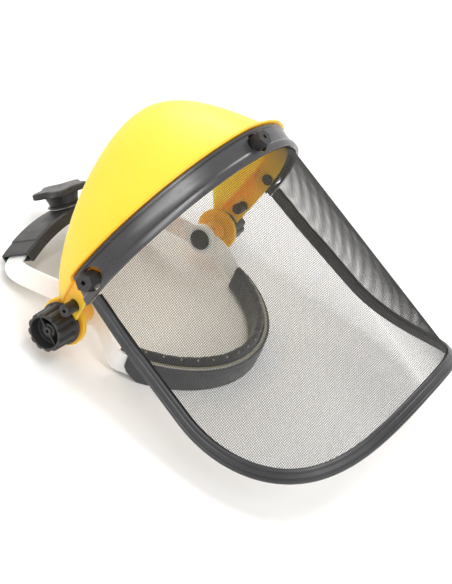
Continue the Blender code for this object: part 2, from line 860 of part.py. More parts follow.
def rack(name, side, look, parent):
    """The toothed end of a strap: full width outside, then half width with its teeth on the pinion."""
    pitch = 2 * math.pi * PINION_PITCH / PINION_TEETH
    outer = 0.0080
    root = PINION_PITCH + 0.0011
    tip = PINION_PITCH - 0.0006
    wide_from = 0.0260
    columns = [(-0.0105, root)]
    tooth = -2 * pitch
    while tooth + pitch * 0.5 < wide_from - 0.002:
        columns += [(tooth - 0.19 * pitch, root), (tooth - 0.09 * pitch, tip)]
        columns += [(tooth + 0.09 * pitch, tip), (tooth + 0.19 * pitch, root)]
        tooth += pitch
    columns += [(wide_from, root)]
    columns += [(x, -outer) for x in (wide_from + 0.0004, 0.0340, 0.0420, 0.0512)]
    rings = []
    for x, low in columns:
        ring = [(low, -0.0014), (outer, -0.0014), (outer, 0.0014), (low, 0.0014)]
        rings.append([bent(side * x, side * y, z) for y, z in ring])
    return loft(name, rings, look, parent)


def pinion(look, parent):
    """An eight-tooth gear on a round hub that reaches up into the knob, bored for the screw."""
    count = PINION_TEETH * 4
    tooth_turn = 2 * math.pi / PINION_TEETH
    tall = PINION_PITCH + 0.0006
    deep = PINION_PITCH - 0.0012

    def ring(z, radii, shares):
        points = []
        for i in range(count):
            turn = tooth_turn * (i // 4 + 0.5 + shares[i % 4])
            radius = radii[i % 4]
            points.append(Vector((radius * math.cos(turn), radius * math.sin(turn), z)))
        return points

    even = (-0.375, -0.125, 0.125, 0.375)
    tooth = (-0.19, -0.09, 0.09, 0.19)
    rings = [
        ring(-0.0016, [0.0017] * 4, even),
        ring(-0.0016, [deep, tall, tall, deep], tooth),
        ring(0.0016, [deep, tall, tall, deep], tooth),
        ring(0.0016, [0.0034] * 4, even),
        ring(0.0100, [0.0034] * 4, even),
        ring(0.0100, [0.0017] * 4, even),
    ]
    return loft("pinion", rings, look, parent, wrap=True)


def ratchet_knob(look, parent):
    """A five-point star on a cone that narrows towards the housing, with a foot disc under it."""
    count = 40

    def star(z, size, depth):
        ring = []
        for i in range(count):
            turn = 2 * math.pi * i / count
            wave = 0.5 + 0.5 * math.cos(STAR_TIPS * turn + math.pi)
            r = size - depth * wave**0.8
            ring.append(Vector((r * math.cos(turn), r * math.sin(turn), z)))
        return ring

    rings = [
        star(0.0056, 0.0038, 0.0),
        star(0.0056, 0.0115, 0.0),
        star(0.0066, 0.0115, 0.0),
        star(0.0066, 0.0095, 0.0),
        star(0.0140, 0.0120, 0.0008),
        star(0.0140, 0.0188, 0.0054),
        star(0.0146, 0.0195, 0.0056),
        star(0.0175, 0.0195, 0.0056),
        star(0.0183, 0.0187, 0.0054),
        star(0.0183, 0.0060, 0.0),
        star(0.0179, 0.0030, 0.0),
        star(0.0179, 0.0008, 0.0),
        star(0.0105, 0.0008, 0.0),
        star(0.0105, 0.0038, 0.0),
    ]
    return loft("ratchet_knob", rings, look, parent, wrap=True)


def knob_screw(look, parent):
    """A pan-head screw from inside, up through the pinion."""
    steps = [(-0.0034, 0.0024), (-0.0030, 0.0036), (-0.0020, 0.0036), (-0.0020, 0.0013), (0.0090, 0.0013)]
    rings = [circle(r, 20, level(z)) for z, r in steps]
    return loft("knob_screw", rings, look, parent)


def detent_washer(look, parent):
    """A thin sprung ring between the housing and the knob's foot."""
    steps = [(0.0045, 0.0045), (0.0045, 0.0098), (0.0051, 0.0098), (0.0051, 0.0045)]
    rings = [circle(r, 28, level(z)) for z, r in steps]
    return loft("detent_washer", rings, look, parent, wrap=True)


def main():
    clear_scene()
    yellow = material("guard_yellow", (0.95, 0.78, 0.03), 0.25, transmission=0.25)
    amber = material("spacer_amber", (0.90, 0.50, 0.04), 0.35)
    black = material("moulded_black", (0.035, 0.035, 0.038), 0.45)
    trim = material("trim_black", (0.045, 0.045, 0.05), 0.40)
    steel = material("woven_steel", (0.30, 0.30, 0.30), 0.45, 0.9)
    white = material("strap_white", (0.90, 0.89, 0.86), 0.40)
    foam = material("pad_grey", (0.10, 0.10, 0.11), 0.90)
    cloth = material("cover_grey", (0.07, 0.07, 0.08), 0.92)
    metal = material("plated_steel", (0.60, 0.60, 0.62), 0.30, 1.0)

    headgear = empty("headgear", (0.0, PIVOT_Y, PIVOT_HEIGHT))
    tilt = empty("guard_pivot", (0.0, 0.0, 0.0), (-RAISED, 0.0, 0.0), headgear)
    guard = empty("guard_frame", (0.0, -AXIS_YZ[0], -AXIS_YZ[1]), parent=tilt)
    rear = empty("rear_unit", REAR_CENTRE, (REAR_LEAN, 0.0, 0.0), headgear)

    brow_guard(yellow, guard)
    visor_band(black, guard)
    mesh_screen(steel, guard)
    edge_trim(trim, guard)
    for name, share in PEG_ANGLES.items():
        hex_peg(name, share, black, guard)

    headband(white, headgear)
    sweatband_pad(foam, headgear)
    sweatband_cover(cloth, headgear)

    for side, word in ((-1, "right"), (1, "left")):
        stop_pin(f"stop_pin_{word}", side, black, guard)
        rear_strap(f"strap_{word}", side, white, headgear)
        pivot_bolt(f"pivot_bolt_{word}", side, black, headgear)
        tube_along_x(f"spacer_{word}", SPACER, SPACER_RADIUS, side, amber, headgear)
        tube_along_x(f"friction_washer_{word}", WASHER, WASHER_RADIUS, side, metal, headgear)
        side_knob(f"side_knob_{word}", side, black, headgear)
        rack(f"rack_{word}", side, white, rear)

    ratchet_housing(black, rear)
    ratchet_base(black, rear)
    pinion(black, rear)
    ratchet_knob(black, rear)
    knob_screw(metal, rear)
    detent_washer(metal, rear)


main()
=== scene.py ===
"""Looks for the face shield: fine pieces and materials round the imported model, on a pale floor.

The guard's own frame is upright as worn; GUARD_TO_WORLD tilts it up about the pivots.
Lengths are in metres.
"""

import math
from collections import namedtuple

import bmesh
import bpy
import numpy as np
from mathutils import Matrix, Vector


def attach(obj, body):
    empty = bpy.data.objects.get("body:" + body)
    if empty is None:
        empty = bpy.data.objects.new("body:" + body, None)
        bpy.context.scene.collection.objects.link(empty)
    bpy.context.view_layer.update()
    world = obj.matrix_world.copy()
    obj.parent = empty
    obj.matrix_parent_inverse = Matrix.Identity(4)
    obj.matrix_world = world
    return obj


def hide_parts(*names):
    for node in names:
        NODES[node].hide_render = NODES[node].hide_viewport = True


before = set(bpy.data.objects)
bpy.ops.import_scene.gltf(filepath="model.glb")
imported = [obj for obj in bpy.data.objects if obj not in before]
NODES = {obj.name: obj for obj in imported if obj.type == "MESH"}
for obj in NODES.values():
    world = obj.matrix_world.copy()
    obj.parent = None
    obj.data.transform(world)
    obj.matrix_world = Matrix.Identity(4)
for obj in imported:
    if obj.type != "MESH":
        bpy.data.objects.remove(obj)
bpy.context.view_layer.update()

GAP = 0.0003

# Where the part's axes lie.
PIVOT = Vector((0.0, 0.0518, 0.0232))
RAISED = math.radians(76.0)
AXIS_Y = 0.0022
AXIS_Z = -0.0017
TILT = Matrix.Translation(PIVOT) @ Matrix.Rotation(-RAISED, 4, "X")
GUARD_TO_WORLD = TILT @ Matrix.Translation((0.0, -AXIS_Y, -AXIS_Z))
PIVOT_TO_WORLD = Matrix.Translation(PIVOT)
REAR_CENTRE = PIVOT + Vector((0.0, 0.0700, 0.0010))
REAR_TO_WORLD = Matrix.Translation(REAR_CENTRE) @ Matrix.Rotation(math.radians(-40.0), 4, "X")

# The visor's surface between its two plans, as in the part.
Plan = namedtuple("Plan", "half_width front_depth rear_depth power centre_y")
TOP_PLAN = Plan(0.1058, 0.0753, 0.1100, 1.786, -0.0488)
CHIN_PLAN = Plan(0.1193, 0.0904, 0.1250, 2.13, -0.0005)
SWEEP = math.radians(94.3)
TOP_Z = 0.0047
SHOULDER_Z = -0.0962
CHIN_Z = -0.1831
CHIN_POWER = 3.914
CHIN_CURVE = 1.97
TAPER = 0.73
BAND_HEIGHT = 0.0172
SLOT_HALF = 0.0010
BAND_OUTER = 0.0029
BAND_INNER = -0.0021
TRIM_WIDTH = 0.0086
TRIM_HALF = 0.0022
TRIM_WEB = 0.0022
TRIM_TOP_GAP = 0.0006
WALL_OUTER = BAND_INNER - GAP
WALL_INNER = WALL_OUTER - 0.0020
FLANGE_Z = TOP_Z + GAP
DOME_BASE_Z = 0.0062
DOME_LEAVE = 0.19
DOME_ARRIVE = 0.25
ARCH_Y = 0.0056
ARCH_RISE = math.radians(35)
ARCH_START = 0.0180
ARCH_REACH = 0.1115
ARCH_HALF_WIDTH = 0.0905
ARCH_POWER = 1.825
LOBE_ANGLE = math.radians(117)
LOBE_RADIUS = 0.0152
LOBE = (0.0882, 0.0914)
BORE_RADIUS = 0.0039
STOP_PIN_YZ = (-0.0213, -0.0034)
STOP_PIN_RADIUS = 0.0037
PEG_SHARES = (-0.93, 0.0, 0.93)
PEG_Z = -0.0045
PEG_HOLE = 0.0066
PEG_NECK = 0.0030
PEG_HOLE_WIDEN = 1.15
PEG_HOLE_INWARD = 0.0010
PEG_CUT_REACH = 0.012
PEG_CUT_SIDES = 48
SIDE_KNOB = (0.0930, 0.1100)

# The headband's plan.
FOREHEAD_DEPTH = 0.0874
FOREHEAD_HALF_WIDTH = 0.0815
FOREHEAD_Y = -0.0011
BAND_THICKNESS = 0.0018
WEAVE_RADIUS = 0.0845
PAD_GAP = 3 * GAP + 0.0006
PAD_DEPTH = 0.0052
PAD_LOW = 0.0010
PAD_HIGH = PIVOT.z - 0.0020
PAD_TURN = math.radians(68.1)
PAD_VOXEL = 0.0028
PAD_PRESSURE = 4.0
PAD_SWELL = 0.0011
PIN_TURN = math.radians(8.2)
PIN_COUNT_EACH_SIDE = 7
PIN_RADIUS = 0.00062
PIN_STRETCH = 1.6
COVER_HIGH = PIVOT.z - 0.0070
COVER_TURN = math.radians(64)
COVER_THICKNESS = 0.0016
# Where the painted shade on the headband's top edge fades out, from front to back.
EDGE_SHADE_FRONT_Y = 0.012
EDGE_SHADE_BACK_Y = 0.020

# The woven wire.
WIRE_PITCH = 0.00108
WIRE_RADIUS = 0.000128
WIRE_TOP_Z = -0.0114
WIRE_INSET = TRIM_WEB + 0.0008
WIRE_SPREAD = 0.015
WIRE_SPREAD_LIMIT = 0.04
WIRE_SEED = 7


# Materials.

STRAP_DARK = (0.90, 0.89, 0.86)
STRAP_LIGHT = (0.95, 0.94, 0.92)


def new_material(name):
    made = bpy.data.materials.new(name)
    made.use_nodes = True
    tree = made.node_tree
    return made, tree, tree.nodes["Principled BSDF"]


def add_node(tree, kind, **values):
    node = tree.nodes.new(kind)
    for key, value in values.items():
        if hasattr(node, key):
            setattr(node, key, value)
        else:
            node.inputs[key.replace("_", " ")].default_value = value
    return node


def noise(tree, scale, detail=3.0, roughness=0.5, coords=None):
    node = add_node(tree, "ShaderNodeTexNoise", Scale=scale, Detail=detail, Roughness=roughness)
    if coords is None:
        coords = add_node(tree, "ShaderNodeTexCoord").outputs["Object"]
    tree.links.new(coords, node.inputs["Vector"])
    return node.outputs["Fac"]


def ramp(tree, source, low, high, start=0.0, end=1.0):
    """Maps a factor on to a span of values or of colours."""
    if isinstance(low, tuple):
        node = add_node(tree, "ShaderNodeValToRGB")
        node.color_ramp.elements[0].position = start
        node.color_ramp.elements[0].color = (*low, 1.0)
        node.color_ramp.elements[1].position = end
        node.color_ramp.elements[1].color = (*high, 1.0)
        tree.links.new(source, node.inputs["Fac"])
        return node.outputs["Color"]
    node = add_node(tree, "ShaderNodeMapRange", From_Min=start, From_Max=end, To_Min=low, To_Max=high)
    tree.links.new(source, node.inputs["Value"])
    return node.outputs["Result"]


def bump(tree, shader, height, strength, distance, after=None):
    node = add_node(tree, "ShaderNodeBump", Strength=strength, Distance=distance)
    tree.links.new(height, node.inputs["Height"])
    if after is not None:
        tree.links.new(after, node.inputs["Normal"])
    tree.links.new(node.outputs["Normal"], shader.inputs["Normal"])
    return node.outputs["Normal"]


def math_node(tree, operation, first, second=None):
    node = add_node(tree, "ShaderNodeMath", operation=operation)
    for slot, value in enumerate((first, second)):
        if value is None:
            continue
        if isinstance(value, (int, float)):
            node.inputs[slot].default_value = value
        else:
            tree.links.new(value, node.inputs[slot])
    return node.outputs[0]


def moulded(name, dark, light, rough, grain=0.25, grain_scale=1800.0, **sockets):
    """A moulded plastic: mottled colour, uneven gloss and a fine grain."""
    made, tree, shader = new_material(name)
    mottle = noise(tree, 38.0, 4.0, 0.6)
    tree.links.new(ramp(tree, mottle, dark, light, 0.3, 0.7), shader.inputs["Base Color"])
    patches = noise(tree, 95.0, 5.0, 0.65)
    tree.links.new(ramp(tree, patches, rough[0], rough[1], 0.3, 0.7), shader.inputs["Roughness"])
    fine = noise(tree, grain_scale, 2.0, 0.5)
    bump(tree, shader, fine, grain, 0.0002)
    for key, value in sockets.items():
        shader.inputs[key.replace("_", " ")].default_value = value
    return made


def guard_plastic():
    """Translucent yellow, deepening to orange where the moulding is seen through its edge."""
    made, tree, shader = new_material("guard_plastic")
    edge = add_node(tree, "ShaderNodeAttribute", attribute_name="edge_depth").outputs["Fac"]
    drift = noise(tree, 14.0, 3.0, 0.5)
    body = ramp(tree, drift, (0.92, 0.61, 0.045), (0.94, 0.655, 0.065), 0.3, 0.7)
    mix = add_node(tree, "ShaderNodeMix", data_type="RGBA")
    tree.links.new(edge, mix.inputs["Factor"])
    tree.links.new(body, mix.inputs["A"])
    mix.inputs["B"].default_value = (0.94, 0.33, 0.012, 1.0)
    tree.links.new(mix.outputs["Result"], shader.inputs["Base Color"])
    patches = noise(tree, 60.0, 4.0, 0.6)
    tree.links.new(ramp(tree, patches, 0.38, 0.48, 0.3, 0.7), shader.inputs["Roughness"])
    ripple = noise(tree, 55.0, 2.0, 0.4)
    bump(tree, shader, ripple, 0.12, 0.0006)
    shader.inputs["Subsurface Weight"].default_value = 0.80
    shader.inputs["Subsurface Radius"].default_value = (1.0, 0.80, 0.12)
    shader.inputs["Subsurface Scale"].default_value = 0.0060
    shader.inputs["Specular IOR Level"].default_value = 0.35
    return made


def wire_metal():
    made, tree, shader = new_material("wire_metal")
    tone = noise(tree, 240.0, 3.0, 0.6)
    colour = ramp(tree, tone, (0.040, 0.039, 0.038), (0.075, 0.074, 0.072), 0.3, 0.7)
    tree.links.new(colour, shader.inputs["Base Color"])
    tree.links.new(ramp(tree, tone, 0.30, 0.50, 0.3, 0.7), shader.inputs["Roughness"])
    shader.inputs["Metallic"].default_value = 0.55
    return made


def strip_coords(tree):
    """Distance round the forehead, and height, for a weave that follows the band."""
    place = add_node(tree, "ShaderNodeSeparateXYZ")
    tree.links.new(add_node(tree, "ShaderNodeTexCoord").outputs["Object"], place.inputs[0])
    forward = math_node(tree, "SUBTRACT", PIVOT.y + FOREHEAD_Y, place.outputs["Y"])
    turn = math_node(tree, "ARCTAN2", place.outputs["X"], forward)
    return math_node(tree, "MULTIPLY", turn, WEAVE_RADIUS), place.outputs["Z"]


def woven(name, dark, light, pitch, strength):
    """A plain weave whose threads go round and up the band, with fuzz; darker where the weave sinks and
    lighter where it rises, as painted shade between the threads.
    """
    made, tree, shader = new_material(name)
    along, up = strip_coords(tree)
    across = math_node(tree, "SINE", math_node(tree, "MULTIPLY", along, 2 * math.pi / pitch))
    climbing = math_node(tree, "SINE", math_node(tree, "MULTIPLY", up, 2 * math.pi / pitch))
    weave = math_node(tree, "MULTIPLY", across, climbing)
    lifted = ramp(tree, weave, 0.0, 1.0, -1.0, 1.0)
    fuzz = noise(tree, 2600.0, 2.0, 0.6)
    yarn = math_node(tree, "MULTIPLY", lifted, 0.75)
    thread = math_node(tree, "ADD", yarn, math_node(tree, "MULTIPLY", fuzz, 0.35))
    # Painted shade: the colour follows the weave's height, dark where threads sink; the fuzz adds fine
    # random tone.
    tree.links.new(ramp(tree, thread, dark, light, 0.25, 0.95), shader.inputs["Base Color"])
    bump(tree, shader, thread, strength, 0.0004)
    shader.inputs["Roughness"].default_value = 0.93
    shader.inputs["Sheen Weight"].default_value = 0.35
    shader.inputs["Sheen Roughness"].default_value = 0.5
    shader.inputs["Specular IOR Level"].default_value = 0.2
    return made


def headband_plastic():
    """The white strap plastic, with painted shade along the forehead's top edge, between pad and cover:
    upward faces at the front are made olive.
    """
    made = moulded("headband_plastic", STRAP_DARK, STRAP_LIGHT, (0.36, 0.48), 0.15, 1300.0)
    tree = made.node_tree
    shader = tree.nodes["Principled BSDF"]
    white = shader.inputs["Base Color"].links[0].from_socket
    face = add_node(tree, "ShaderNodeSeparateXYZ")
    tree.links.new(add_node(tree, "ShaderNodeNewGeometry").outputs["Normal"], face.inputs[0])
    place = add_node(tree, "ShaderNodeSeparateXYZ")
    tree.links.new(add_node(tree, "ShaderNodeTexCoord").outputs["Object"], place.inputs[0])
    facing_up = ramp(tree, face.outputs["Z"], 0.0, 1.0, 0.35, 0.75)
    forward = ramp(tree, place.outputs["Y"], 1.0, 0.0, EDGE_SHADE_FRONT_Y, EDGE_SHADE_BACK_Y)
    mix = add_node(tree, "ShaderNodeMix", data_type="RGBA")
    tree.links.new(math_node(tree, "MULTIPLY", facing_up, forward), mix.inputs["Factor"])
    tree.links.new(white, mix.inputs["A"])
    # Painted shade: the olive of the white strap seen in the guard's shade and yellow light.
    mix.inputs["B"].default_value = (0.30, 0.29, 0.20, 1.0)
    tree.links.new(mix.outputs["Result"], shader.inputs["Base Color"])
    return made


LOOKS = {
    "yellow": guard_plastic(),
    "amber": moulded(
        "amber_plastic", (0.90, 0.45, 0.05), (0.94, 0.52, 0.08), (0.26, 0.36), 0.08, 900.0,
        Subsurface_Weight=0.6, Subsurface_Scale=0.005,
    ),
    "black": moulded(
        "moulded_black", (0.016, 0.015, 0.015), (0.030, 0.029, 0.029), (0.34, 0.48), 0.30, 1500.0
    ),
    "band": moulded(
        "band_black", (0.024, 0.024, 0.027), (0.038, 0.038, 0.042), (0.25, 0.36), 0.10, 700.0,
        Specular_IOR_Level=0.75,
    ),
    "trim": moulded("trim_black", (0.022, 0.022, 0.024), (0.036, 0.036, 0.039), (0.32, 0.46), 0.20, 1100.0),
    "white": moulded(
        "strap_white", STRAP_DARK, STRAP_LIGHT, (0.34, 0.46), 0.15, 1300.0,
        Subsurface_Weight=0.5, Subsurface_Scale=0.005,
    ),
    "headband": headband_plastic(),
    "steel": moulded(
        "plated_steel", (0.42, 0.42, 0.43), (0.56, 0.56, 0.57), (0.22, 0.36), 0.15, 2400.0, Metallic=1.0
    ),
    "wire": wire_metal(),
    "pad": woven("pad_weave", (0.018, 0.018, 0.019), (0.070, 0.070, 0.072), 0.00140, 0.45),
    "cover": woven("cover_weave", (0.026, 0.027, 0.029), (0.105, 0.107, 0.112), 0.00150, 0.60),
    # The pins' white plastic, coloured olive as painted shade under the guard.
    "pin_shade": moulded("pin_painted_shade", (0.27, 0.26, 0.17), (0.36, 0.35, 0.24), (0.45, 0.60), 0.20, 1200.0),
}


# Mesh helpers.


def add_object(name, mesh, look, body, slot, *stands_for, sharp=32.0, place=None):
    """A visible piece that rides on a body; place is its own frame's matrix, which goes into the mesh."""
    made = bpy.data.objects.new(name, mesh)
    bpy.context.scene.collection.objects.link(made)
    if place is not None:
        mesh.transform(place)
    mesh.materials.clear()
    mesh.materials.append(LOOKS[look])
    mesh.shade_smooth()
    mesh.set_sharp_from_angle(angle=math.radians(sharp))
    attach(made, body)
    if stands_for:
        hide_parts(*stands_for)
    return made


def loft_mesh(name, rings, wrap=False):
    """A closed body through rings of equally many points: capped at both ends, or joined end to start."""
    shape = bmesh.new()
    loops = [[shape.verts.new(point) for point in ring] for ring in rings]
    count = len(loops[0])
    pairs = list(zip(loops, loops[1:]))
    if wrap:
        pairs.append((loops[-1], loops[0]))
    else:
        shape.faces.new(loops[0])
        shape.faces.new(loops[-1])
    for first, second in pairs:
        for i in range(count):
            j = (i + 1) % count
            shape.faces.new((first[i], first[j], second[j], second[i]))
    bmesh.ops.recalc_face_normals(shape, faces=shape.faces)
    mesh = bpy.data.meshes.new(name)
    shape.to_mesh(mesh)
    shape.free()
    return mesh


def turned_x(profile, side, count, centre):
    """Rings round an axis along X, from (distance from the middle, radius) pairs."""
    rings = []
    for x, radius in profile:
        ring = []
        for i in range(count):
            turn = 2 * math.pi * i / count
            y = centre[0] + radius * math.cos(turn)
            z = centre[1] + radius * math.sin(turn)
            ring.append(Vector((side * x, y, z)))
        rings.append(ring)
    return rings


def boolean(mesh, others, operation):
    """The mesh after exact Booleans with each of the other meshes."""
    body = bpy.data.objects.new("boolean_body", mesh)
    bpy.context.scene.collection.objects.link(body)
    tools = []
    for other in others:
        tool = bpy.data.objects.new("boolean_tool", other)
        bpy.context.scene.collection.objects.link(tool)
        step = body.modifiers.new("cut", "BOOLEAN")
        step.operation = operation
        step.solver = "EXACT"
        step.object = tool
        tools.append(tool)
    graph = bpy.context.evaluated_depsgraph_get()
    result = bpy.data.meshes.new_from_object(body.evaluated_get(graph))
    for obj in [body, *tools]:
        bpy.data.objects.remove(obj)
    return result


def hermite(start, start_slope, end, end_slope, t):
    return (
        start * (2 * t**3 - 3 * t**2 + 1)
        + start_slope * (t**3 - 2 * t**2 + t)
        + end * (-2 * t**3 + 3 * t**2)
        + end_slope * (t**3 - t**2)
    )


# The visor's surface.


def plan_point(plan, angle):
    s = math.sin(angle)
    c = math.cos(angle)
    depth = plan.front_depth if c > 0 else plan.rear_depth
    x = math.copysign(plan.half_width * abs(s) ** (2 / plan.power), s)
    y = plan.centre_y - math.copysign(depth * abs(c) ** (2 / plan.power), c)
    return Vector((x, y, 0.0))


def surface_point(angle, z):
    blend = (TOP_Z - z) / (TOP_Z - CHIN_Z)
    point = plan_point(TOP_PLAN, angle).lerp(plan_point(CHIN_PLAN, angle), blend)
    point.z = z
    return point


def surface_frame(angle, z):
    step = 0.01
    sideways = (surface_point(angle + step, z) - surface_point(angle - step, z)).normalized()
    upward = surface_point(angle, z + step) - surface_point(angle, z - step)
    return surface_point(angle, z), sideways, sideways.cross(upward).normalized()


def raised_point(angle, z, offset):
    point, _, normal = surface_frame(angle, z)
    return point + normal * offset


def surface_step(angle, z, direction, distance, parts=4):
    """The angle and height reached by going a short distance over the surface in a direction."""
    step = 0.01
    for _ in range(parts):
        by_angle = (surface_point(angle + step, z) - surface_point(angle - step, z)) / (2 * step)
        by_height = (surface_point(angle, z + step) - surface_point(angle, z - step)) / (2 * step)
        mixed = by_angle.dot(by_height)
        rates = Matrix(((by_angle.dot(by_angle), mixed), (mixed, by_height.dot(by_height))))
        wanted = Vector((direction.dot(by_angle), direction.dot(by_height))) * (distance / parts)
        turn, rise = rates.inverted() @ wanted
        angle += turn
        z += rise
    return angle, z


def arc_table(count=240):
    angles = [SWEEP * (2 * i / count - 1) for i in range(count + 1)]
    points = [plan_point(TOP_PLAN, angle) for angle in angles]
    lengths = [0.0]
    for first, second in zip(points, points[1:]):
        lengths.append(lengths[-1] + (second - first).length)
    return angles, lengths


ARC_ANGLES, ARC_LENGTHS = arc_table()
HALF_ARC = ARC_LENGTHS[-1] / 2


def angle_at(share):
    return float(np.interp((share + 1) * HALF_ARC, ARC_LENGTHS, ARC_ANGLES))


def visor_angle(share, z):
    return angle_at(share * (1 - TAPER * (TOP_Z - z)))


def lower_edge(share, inset=0.0):
    half = HALF_ARC - inset
    reach = min(1.0, abs(share) * HALF_ARC / half)
    drop = SHOULDER_Z - CHIN_Z - inset
    return SHOULDER_Z - drop * (1 - reach**CHIN_POWER) ** (1 / CHIN_CURVE)


def eased(count):
    return [math.sin(math.pi * (i / count - 0.5)) for i in range(count + 1)]


def band_cutters(radius, widen=1.0, inward=0.0):
    """Cutters through the peg places: round, or widened along the band and set towards its middle."""
    meshes = []
    for share in PEG_SHARES:
        point, sideways, normal = surface_frame(angle_at(share * (1 - inward / HALF_ARC)), PEG_Z)
        upward = normal.cross(sideways)
        rings = []
        for offset in (-PEG_CUT_REACH, PEG_CUT_REACH):
            ring = []
            for i in range(PEG_CUT_SIDES):
                turn = 2 * math.pi * i / PEG_CUT_SIDES
                outward = sideways * math.cos(turn) * widen + upward * math.sin(turn)
                ring.append(point + outward * radius + normal * offset)
            rings.append(ring)
        meshes.append(loft_mesh("peg_cutter", rings))
    return meshes


# The guard.


def build_band():
    """The channel strip: a thin groove, a shallow hollow face, a raised rib and a rolled lower edge."""
    low = TOP_Z - BAND_HEIGHT
    out = BAND_OUTER
    section = [
        (BAND_INNER, TOP_Z - 0.0004),
        (BAND_INNER + 0.0004, TOP_Z),
        (out - 0.0006, TOP_Z),
        (out - 0.0002, TOP_Z - 0.0002),
        (out, TOP_Z - 0.0007),
        (out, TOP_Z - 0.0020),
        (out - 0.0003, TOP_Z - 0.0022),
        (out - 0.0006, TOP_Z - 0.0024),
        (out - 0.0006, TOP_Z - 0.0027),
        (out - 0.0002, TOP_Z - 0.0030),
        (out - 0.0001, TOP_Z - 0.0034),
        (out - 0.0004, TOP_Z - 0.0075),
        (out - 0.0003, low + 0.0056),
        (out - 0.0001, low + 0.0051),
        (out + 0.0005, low + 0.0045),
        (out + 0.0008, low + 0.0041),
        (out + 0.0009, low + 0.0036),
        (out + 0.0008, low + 0.0012),
        (out + 0.0006, low + 0.0005),
        (out + 0.0001, low),
        (SLOT_HALF, low),
        (SLOT_HALF, TOP_Z - 0.0020),
        (-SLOT_HALF, TOP_Z - 0.0020),
        (-SLOT_HALF, low + 0.0030),
        (BAND_INNER, low + 0.0030),
    ]
    rings = []
    for share in eased(150):
        angle = angle_at(share)
        rings.append([raised_point(angle, z, offset) for offset, z in section])
    cutters = band_cutters(PEG_HOLE, PEG_HOLE_WIDEN, PEG_HOLE_INWARD)
    mesh = boolean(loft_mesh("band", rings), cutters, "DIFFERENCE")
    add_object("brow_band", mesh, "band", "guard", "moulded_black", "visor_band", place=GUARD_TO_WORLD)


def build_trim():
    """The edging, with two long grooves in each face and a rounded outer edge."""
    face = [
        (0.0003, 0.0016),
        (0.0009, 0.0021),
        (0.0020, TRIM_HALF),
        (0.0024, 0.0018),
        (0.0028, 0.0018),
        (0.0032, TRIM_HALF),
        (0.0056, TRIM_HALF),
        (0.0060, 0.0018),
        (0.0064, 0.0018),
        (0.0068, TRIM_HALF - 0.0001),
        (TRIM_WIDTH - 0.0005, TRIM_HALF - 0.0002),
        (TRIM_WIDTH - 0.0001, TRIM_HALF - 0.0005),
    ]
    section = [(0.0, -0.0008), (0.0, 0.0008)]
    section += face
    section += [(TRIM_WIDTH, SLOT_HALF - 0.0003), (TRIM_WEB, SLOT_HALF - 0.0003)]
    section += [(TRIM_WEB, -SLOT_HALF + 0.0003), (TRIM_WIDTH, -SLOT_HALF + 0.0003)]
    section += [(across, -offset) for across, offset in reversed(face)]
    start = TOP_Z - BAND_HEIGHT - TRIM_TOP_GAP
    down = [start + (SHOULDER_Z - start) * i / 24 for i in range(24)]
    route = [(visor_angle(-1, z), z) for z in down]
    route += [(visor_angle(share, lower_edge(share)), lower_edge(share)) for share in eased(150)]
    route += [(visor_angle(1, z), z) for z in reversed(down)]
    points = [surface_point(*place) for place in route]
    rings = []
    for i, place in enumerate(route):
        _, sideways, normal = surface_frame(*place)
        ahead = points[min(i + 1, len(points) - 1)] - points[max(i - 1, 0)]
        inward = normal.cross(ahead.normalized())
        if i in (0, len(route) - 1):
            inward = sideways if place[0] < 0 else -sideways
        steps = [(surface_step(*place, inward, across), offset) for across, offset in section]
        rings.append([raised_point(*step, offset) for step, offset in steps])
    mesh = loft_mesh("trim", rings)
    add_object("edge_channel", mesh, "trim", "guard", "trim_black", "edge_trim", place=GUARD_TO_WORLD)


def rim_extent(angle):
    past = min(1.0, max(0.0, (abs(angle) - SWEEP + 0.03) / 0.16))
    return 1 - past * past * (3 - 2 * past)


def arch_point(share, inset=0.0):
    turn = share * math.pi / 2
    half = ARCH_HALF_WIDTH - inset
    along = ARCH_START + (ARCH_REACH - ARCH_START - inset) * math.cos(turn) ** (2 / ARCH_POWER)
    x = math.copysign(half * abs(math.sin(turn)) ** (2 / ARCH_POWER), turn)
    return Vector((x, ARCH_Y - along * math.cos(ARCH_RISE), along * math.sin(ARCH_RISE)))


def dome_curve(share, offset, count):
    start = raised_point(share * LOBE_ANGLE, DOME_BASE_Z, offset)
    end = arch_point(share, WALL_OUTER - offset)
    reach = (end - start).length
    inward = (Vector((0.0, TOP_PLAN.centre_y, end.z)) - end).normalized()
    arrive = (inward + Vector((0, 0, DOME_ARRIVE))).normalized() * reach
    leave = Vector((0, 0, reach * DOME_LEAVE))
    return [hermite(start, leave, end, arrive, i / count) for i in range(count + 1)]


